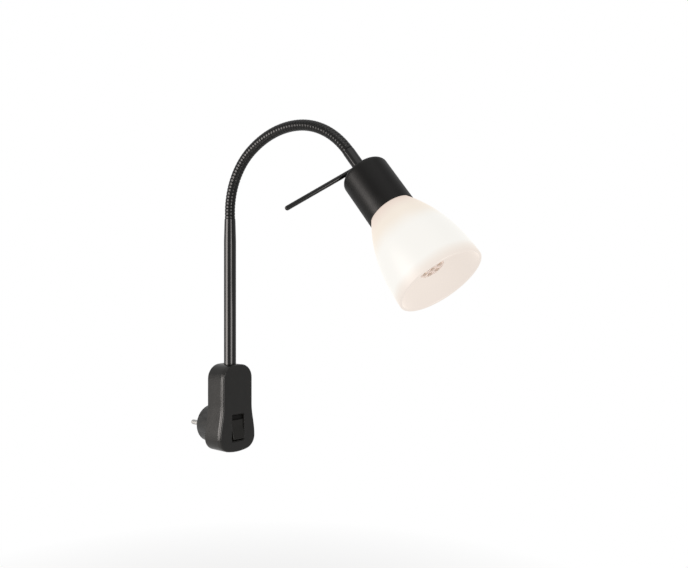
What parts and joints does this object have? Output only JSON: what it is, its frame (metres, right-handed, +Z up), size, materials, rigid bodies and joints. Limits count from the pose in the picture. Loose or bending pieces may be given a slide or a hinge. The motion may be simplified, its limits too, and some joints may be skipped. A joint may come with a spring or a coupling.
{
  "type": "plug-in reading lamp",
  "caption": "Reading lamp that plugs straight into a wall socket: pear-shaped plug housing with a rocker switch, straight stem, ribbed gooseneck and a glass bell shade.",
  "frame": {"origin": "midway between the two plug pins, on the face that meets the socket", "axes": "+Z up, +Y into the wall along the pins, -Y out into the room towards the viewer, +X right"},
  "size_m": [0.0832, 0.3264, 0.3167],
  "materials": {
    "housing_plastic": "satin black moulded plastic",
    "black_metal": "satin black lacquer on steel",
    "insulator": "ivory moulded insulation",
    "plated_steel": "nickel-plated steel",
    "contact_brass": "bare brass",
    "cable_sheath": "grey sheath",
    "brown_core": "brown insulation",
    "blue_core": "blue insulation",
    "opal_glass": "frosted opal glass",
    "bulb_plastic": "white plastic",
    "bulb_metal": "plain aluminium",
    "light_chip": "yellow phosphor"
  },
  "bodies": {
    "plug_housing": {"rear_shell": "housing_plastic", "front_cover": "housing_plastic", "pin_bridge": "insulator", "plug_pins": "plated_steel", "housing_screws": "plated_steel", "switch_frame": "housing_plastic", "switch_terminals": "contact_brass", "live_link": "brown_core", "live_core": "brown_core", "neutral_core": "blue_core", "clamp_bar": "insulator", "clamp_screws": "plated_steel", "stem_nipple": "plated_steel", "stem_washer": "plated_steel", "stem_nut": "plated_steel", "stem_tube": "black_metal", "neck_base": "black_metal", "supply_cable": "cable_sheath"},
    "rocker": {"rocker": "housing_plastic"},
    "neck_link_1": {"neck_link_1": "black_metal"},
    "neck_link_2": {"neck_link_2": "black_metal"},
    "neck_link_3": {"neck_link_3": "black_metal"},
    "neck_link_4": {"neck_link_4": "black_metal"},
    "neck_link_5": {"neck_link_5": "black_metal"},
    "neck_link_6": {"neck_link_6": "black_metal"},
    "neck_link_7": {"neck_link_7": "black_metal"},
    "neck_link_8": {"neck_link_8": "black_metal"},
    "neck_link_9": {"neck_link_9": "black_metal"},
    "neck_link_10": {"neck_link_10": "black_metal"},
    "neck_link_11": {"neck_link_11": "black_metal"},
    "neck_link_12": {"neck_link_12": "black_metal"},
    "head": {"arm_ferrule": "black_metal", "handle_rod": "black_metal", "cup": "black_metal", "cup_nut": "plated_steel", "holder_cap": "insulator", "holder_body": "insulator", "screw_contact": "contact_brass", "centre_contact": "contact_brass", "holder_wires": "brown_core", "shade_ring": "insulator", "glass_shade": "opal_glass", "bulb_cap": "bulb_metal", "bulb_body": "bulb_plastic", "bulb_tube": "bulb_plastic", "led_board": "bulb_plastic", "led_chips": "light_chip"}
  },
  "joints": [
    {"name": "rocker_tilt", "type": "hinge", "parent": "plug_housing", "child": "rocker", "pos_m": [0, -0.0366, 0], "axis": [1, 0, 0], "range_deg": [0, 14]},
    {"name": "neck_bend_1", "type": "hinge", "parent": "plug_housing", "child": "neck_link_1", "pos_m": [0, -0.02925, 0.2138], "axis": [1, 0, 0], "range_deg": [-14, 6], "deforming": ["supply_cable"]},
    {"name": "neck_sway_1", "type": "hinge", "parent": "neck_link_1", "child": "neck_link_2", "pos_m": [0, -0.03135, 0.23063], "axis": [0, 0.9694, 0.2453], "range_deg": [-7, 7], "deforming": ["supply_cable"]},
    {"name": "neck_bend_2", "type": "hinge", "parent": "neck_link_2", "child": "neck_link_3", "pos_m": [0, -0.03751, 0.24642], "axis": [1, 0, 0], "range_deg": [-14, 6], "deforming": ["supply_cable"]},
    {"name": "neck_sway_2", "type": "hinge", "parent": "neck_link_3", "child": "neck_link_4", "pos_m": [0, -0.04735, 0.26023], "axis": [0, 0.7361, 0.6769], "range_deg": [-7, 7], "deforming": ["supply_cable"]},
    {"name": "neck_bend_3", "type": "hinge", "parent": "neck_link_4", "child": "neck_link_5", "pos_m": [0, -0.06028, 0.2712], "axis": [1, 0, 0], "range_deg": [-14, 6], "deforming": ["supply_cable"]},
    {"name": "neck_sway_3", "type": "hinge", "parent": "neck_link_5", "child": "neck_link_6", "pos_m": [0, -0.07522, 0.27927], "axis": [0, 0.4003, 0.9164], "range_deg": [-7, 7], "deforming": ["supply_cable"]},
    {"name": "neck_bend_4", "type": "hinge", "parent": "neck_link_6", "child": "neck_link_7", "pos_m": [0, -0.09129, 0.28474], "axis": [1, 0, 0], "range_deg": [-14, 6], "deforming": ["supply_cable"]},
    {"name": "neck_sway_4", "type": "hinge", "parent": "neck_link_7", "child": "neck_link_8", "pos_m": [0, -0.10806, 0.28746], "axis": [0, 0.0767, 0.9971], "range_deg": [-7, 7], "deforming": ["supply_cable"]},
    {"name": "neck_bend_5", "type": "hinge", "parent": "neck_link_8", "child": "neck_link_9", "pos_m": [0, -0.12504, 0.28734], "axis": [1, 0, 0], "range_deg": [-14, 6], "deforming": ["supply_cable"]},
    {"name": "neck_sway_5", "type": "hinge", "parent": "neck_link_9", "child": "neck_link_10", "pos_m": [0, -0.14171, 0.28416], "axis": [0, -0.2823, 0.9593], "range_deg": [-7, 7], "deforming": ["supply_cable"]},
    {"name": "neck_bend_6", "type": "hinge", "parent": "neck_link_10", "child": "neck_link_11", "pos_m": [0, -0.15745, 0.2778], "axis": [1, 0, 0], "range_deg": [-14, 6], "deforming": ["supply_cable"]},
    {"name": "neck_sway_6", "type": "hinge", "parent": "neck_link_11", "child": "neck_link_12", "pos_m": [0, -0.17165, 0.26851], "axis": [0, -0.6266, 0.7793], "range_deg": [-7, 7], "deforming": ["supply_cable"]},
    {"name": "neck_bend_7", "type": "hinge", "parent": "neck_link_12", "child": "head", "pos_m": [0, -0.18377, 0.25663], "axis": [1, 0, 0], "range_deg": [-14, 6], "deforming": ["supply_cable"]}
  ]
}
